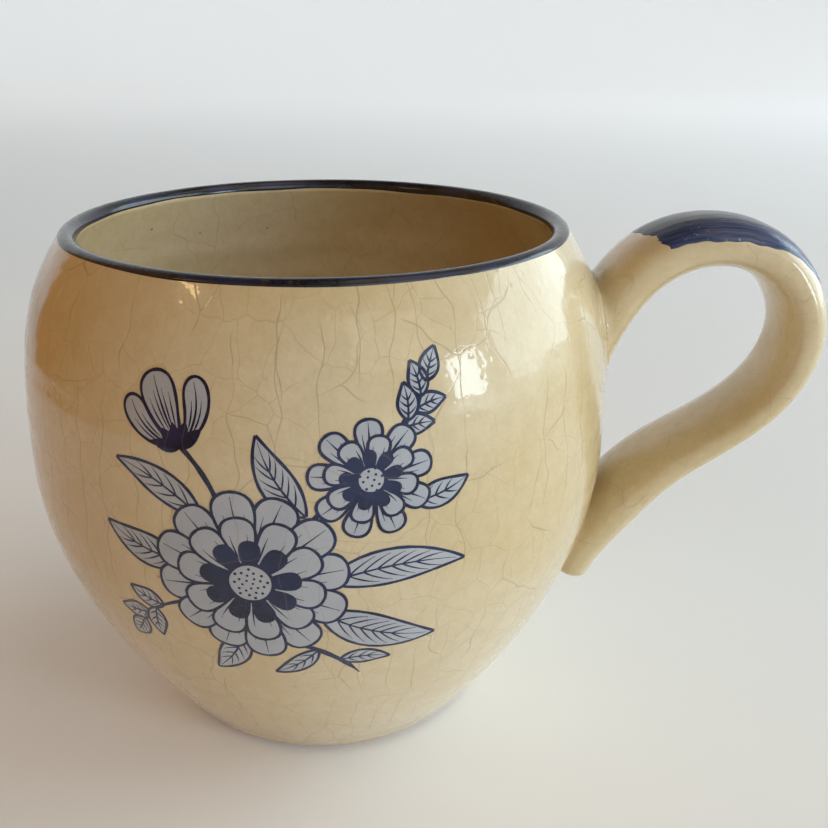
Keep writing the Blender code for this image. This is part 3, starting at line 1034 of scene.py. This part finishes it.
def petal_ring(centre, count, inner, outer, half_width, turn, layer, filled, veins, mid, rim):
    for i in range(count):
        angle = turn + 360.0 * i / count + chance.uniform(-1.5, 1.5)
        reach = outer * (1 + chance.uniform(-0.03, 0.03))
        start = from_polar(centre, inner, angle)
        end = from_polar(centre, reach, angle + chance.uniform(-2.0, 2.0))
        bend = chance.uniform(-0.04, 0.04)
        blade(start, end, half_width, bend, petal_shape, layer + (i % 2), filled, veins, mid, rim)


def sprig(stem, leaves, length, half_width, spread, layer, first=0.2, narrow=0.8):
    """A stem with leaves on alternate sides, ending in one leaf at its tip."""
    stem = respaced(np.asarray(stem, float), 0.5)
    ribbon(stem, 0.5, layer, 0.0, 0.4)
    travel = np.gradient(stem, axis=0)
    for i in range(leaves):
        share = first + (0.97 - first) * i / leaves
        k = int(share * (len(stem) - 1))
        way = 1 if i % 2 else -1
        heading = math.degrees(math.atan2(travel[k, 1], travel[k, 0])) + way * spread
        size = length * (1 - (1 - narrow) * share) * (1 + chance.uniform(-0.08, 0.08))
        tip = from_polar(stem[k], size, heading + chance.uniform(-6, 6))
        leaf(stem[k], tip, half_width * size / length, -0.12 * way, layer + (i % 2), 3)
    heading = math.degrees(math.atan2(travel[-1, 1], travel[-1, 0]))
    leaf(stem[-1], from_polar(stem[-1], length * 0.85, heading), half_width * 0.9, 0.06, layer + 1, 3)


def make_bloom(centre, size, layer, outer_petals, inner_petals, turn):
    """An open flower seen from the front: two rings of petals, a dark ring and a seed disc."""
    outer = (centre, outer_petals, 0.28 * size, size, 0.26 * size, turn, layer)
    inner = (centre, inner_petals, 0.17 * size, 0.75 * size, 0.215 * size, turn + 18, layer + 2)
    petal_ring(*outer, "pale", (-0.5, 0.5), True, OUTLINE)
    petal_ring(*inner, "pale", (-0.5, 0.5), False, OUTLINE)
    petal_ring(centre, 9, 0.1 * size, 0.51 * size, 0.135 * size, turn, layer + 4, "dark", (), False, None)
    disc = 0.23 * size
    low, high = from_polar(centre, disc, 270), from_polar(centre, disc, 90)
    blade(low, high, disc, 0.0, disc_shape, layer + 6, mid=False, rim=0.5)
    for i in range(int(8 * disc)):
        place = from_polar(centre, 0.50 * math.sqrt(i + 0.5), 137.5 * i)
        seed = 0.17 + 0.002 * i
        low, high = place - (0, seed), place + (0, seed)
        blade(low, high, seed, 0.0, disc_shape, layer + 7, "dark", mid=False, rim=None)


def make_bud(base, lean):
    """A half-open bud with ribs and a collar of sepals. It leans to the left by this many degrees."""
    base = np.array(base, float)
    turn = math.radians(lean)

    def leaning(x, y):
        return base + (x * math.cos(turn) - y * math.sin(turn), x * math.sin(turn) + y * math.cos(turn))

    for way in (-1, 1):
        start, end = leaning(way * 0.9, 0.0), leaning(way * 4.8, 7.6)
        blade(start, end, 2.1, -0.28 * way, petal_shape, 2, veins=(-0.4, 0.4))
    blade(base, leaning(-0.6, 9.8), 3.0, 0.03, petal_shape, 4, veins=(-0.6, -0.25, 0.25, 0.6))
    collar = leaning(0.0, -0.7)
    for tilt, size in ((-62, 4.2), (-28, 3.8), (4, 3.6), (34, 3.9), (66, 4.3)):
        end = from_polar(collar, size, 90 + lean - tilt)
        blade(collar, end, 0.9, 0.02, leaf_shape, 6, "dark", mid=False, rim=None)


LEAVES = (
    ((5.0, -10.0), (21.5, -16.5), 3.0, -0.15, 6),
    ((6.0, -5.0), (24.8, -4.0), 2.7, 0.15, 6),
    ((-13.0, -3.0), (-25.0, 0.5), 2.5, 0.16, 5),
    ((-10.0, 4.0), (-22.5, 10.5), 2.1, -0.14, 4),
    ((3.5, 5.0), (-2.5, 16.0), 2.3, 0.14, 5),
    ((-6.0, -15.0), (-11.5, -22.8), 2.2, 0.13, 4),
    ((4.4, -17.4), (-2.2, -22.4), 1.5, 0.15, 3),
    ((7.6, -19.7), (15.0, -20.0), 1.4, 0.15, 3),
    ((17.5, 6.0), (25.0, 8.5), 1.9, -0.12, 3),
)


def make_print():
    """One branch that bends over from the lower right: a large bloom, a small one and a bud."""
    ribbon(curve((-3.0, -15.0), (10.5, -23.0), 0.22), 0.8, 1, 0.0, 0.2)
    ribbon(curve((-7.0, 4.0), (-12.8, 14.0), -0.16), 0.7, 1)
    ribbon(curve((1.0, -1.0), (12.0, 10.0), 0.20), 0.7, 1)
    sprig(curve((15.0, 15.5), (19.5, 22.0), -0.12), 4, 5.2, 1.5, 44, 0, 0.15)
    sprig(curve((-12.0, -9.5), (-22.5, -16.0), -0.18), 3, 6.4, 1.8, 46, 0, 0.50)
    for start, end, half_width, bend, veins in LEAVES:
        leaf(start, end, half_width, bend, 1, veins)
    make_bud((-12.8, 14.0), 20.0)
    make_bloom((11.8, 9.8), 8.2, 3, 9, 8, 14.0)
    make_bloom((-4.0, -5.2), 13.2, 5, 12, 10, 8.0)


make_print()
piece("print_fill", joined(fills), PALE_INK, ["front_print"], sharp=60)
piece("print_lines", joined(lines), DARK_INK, ["front_print"], sharp=60)


# ---------------- the studio


def plain(name, colour, glow):
    """A matt material with a faint glow of its own."""
    glowing = {"Emission_Color": colour, "Emission_Strength": glow}
    return Look(name).finish(colour, 0.9, Specular_IOR_Level=0.1, **glowing)


FLOOR_REACH = 1.5
SWEEP = 0.9
WALL_TOP = 3.2
PALE = (0.88, 0.88, 0.88, 1)
GOLD = (0.34, 0.135, 0.006, 1)
CARD_RADIUS = 0.30
CARD_HEIGHT = 0.55
CARD_SIDES = (150.0, 256.0)
# name, azimuth, elevation, distance, size, power, colour and, if not at the mug, what it is aimed at
LIGHTS = (
    ("window", -32.0, 8.0, 1.0, (0.22, 0.33), 2.8, (0.74, 0.90, 1.0)),
    ("right_sky", 13.0, 16.0, 1.6, (1.7, 1.0), 18.5, (0.73, 0.90, 1.0)),
    ("front_sky", -56.0, 30.0, 1.6, (0.8, 0.8), 2.5, (1.0, 0.98, 0.94)),
    ("overhead", -8.0, 64.0, 1.1, (0.8, 0.8), 1.6, (1.0, 0.84, 0.60), (0.2, -0.06, 0.0)),
    ("lamp", -145.0, 43.0, 0.27, (0.044, 0.007), 0.014, (1.0, 0.70, 0.30)),
    ("backdrop_wash", 90.0, 40.0, 1.5, (2.4, 0.8), 7.0, (1, 1, 1), (0.0, 2.9, -0.4)),
)
WORLD_COLOUR = (1.0, 0.78, 0.48, 1)
WORLD_STRENGTH = 0.06


def make_floor():
    """A pale round floor that sweeps up into a wall on every side."""
    flat = np.column_stack((np.linspace(0.1, FLOOR_REACH, 12), np.zeros(12)))
    turn = np.linspace(-math.pi / 2, 0.0, 24)[1:]
    bend = np.column_stack((FLOOR_REACH + SWEEP * np.cos(turn), SWEEP + SWEEP * np.sin(turn)))
    rise = np.column_stack((np.full(10, FLOOR_REACH + SWEEP), np.linspace(1.0, WALL_TOP, 10)))
    path = np.vstack((flat, bend, rise))
    turns = np.linspace(0.0, 2 * math.pi, 96, endpoint=False)
    points = [(r * math.cos(a), r * math.sin(a), z) for r, z in path for a in turns]
    faces = quads(len(path), len(turns), False, True) + fan(list(range(len(turns)))[::-1], len(points))
    floor = built("floor", points + [(0.0, 0.0, 0.0)], faces, plain("pale_floor", PALE, 0.09))


def make_gold_card():
    """A curved golden card out of the camera's sight, to the mug's left. It warms that side."""
    turns = np.radians(np.linspace(*CARD_SIDES, 24))
    heights = np.linspace(0.0, CARD_HEIGHT, 8)
    points = [(CARD_RADIUS * math.cos(a), CARD_RADIUS * math.sin(a), h) for h in heights for a in turns]
    faces = quads(len(heights), len(turns), False, False)
    card = built("gold_card", points, faces, plain("gold_card", GOLD, 0.04))
    card.visible_camera = False


def soft_light(name, azimuth, elevation, distance, size, power, colour, aim=None):
    """A rectangular light at this direction from the mug, facing it or where it is aimed."""
    a, e = math.radians(azimuth), math.radians(elevation)
    way = Vector((math.cos(e) * math.cos(a), math.cos(e) * math.sin(a), math.sin(e)))
    middle = Vector((0.0, 0.0, 0.05))
    data = bpy.data.lights.new(name, "AREA")
    data.shape = "RECTANGLE"
    data.size, data.size_y = size
    data.energy = power
    data.color = colour
    light = bpy.data.objects.new(name, data)
    light.location = middle + way * distance
    facing = light.location - Vector(aim) if aim else way
    light.rotation_euler = facing.to_track_quat("Z", "Y").to_euler()
    light.visible_camera = False
    SCENE.collection.objects.link(light)


def make_studio():
    make_floor()
    make_gold_card()
    for light in LIGHTS:
        soft_light(*light)
    world = bpy.data.worlds.new("studio")
    world.use_nodes = True
    background = world.node_tree.nodes["Background"]
    background.inputs[0].default_value = WORLD_COLOUR
    background.inputs[1].default_value = WORLD_STRENGTH
    SCENE.world = world
    SCENE.view_settings.view_transform = "Standard"
    data = bpy.data.cameras.new("camera")
    data.lens = 43.54
    data.sensor_width = 36.0
    data.clip_start = 0.001
    camera = bpy.data.objects.new("camera", data)
    camera.location = (0.01371, -0.16323, 0.11712)
    camera.rotation_euler = Euler([math.radians(v) for v in (67.829, -0.570, -0.517)])
    SCENE.collection.objects.link(camera)
    bpy.context.scene.camera = camera


make_studio()
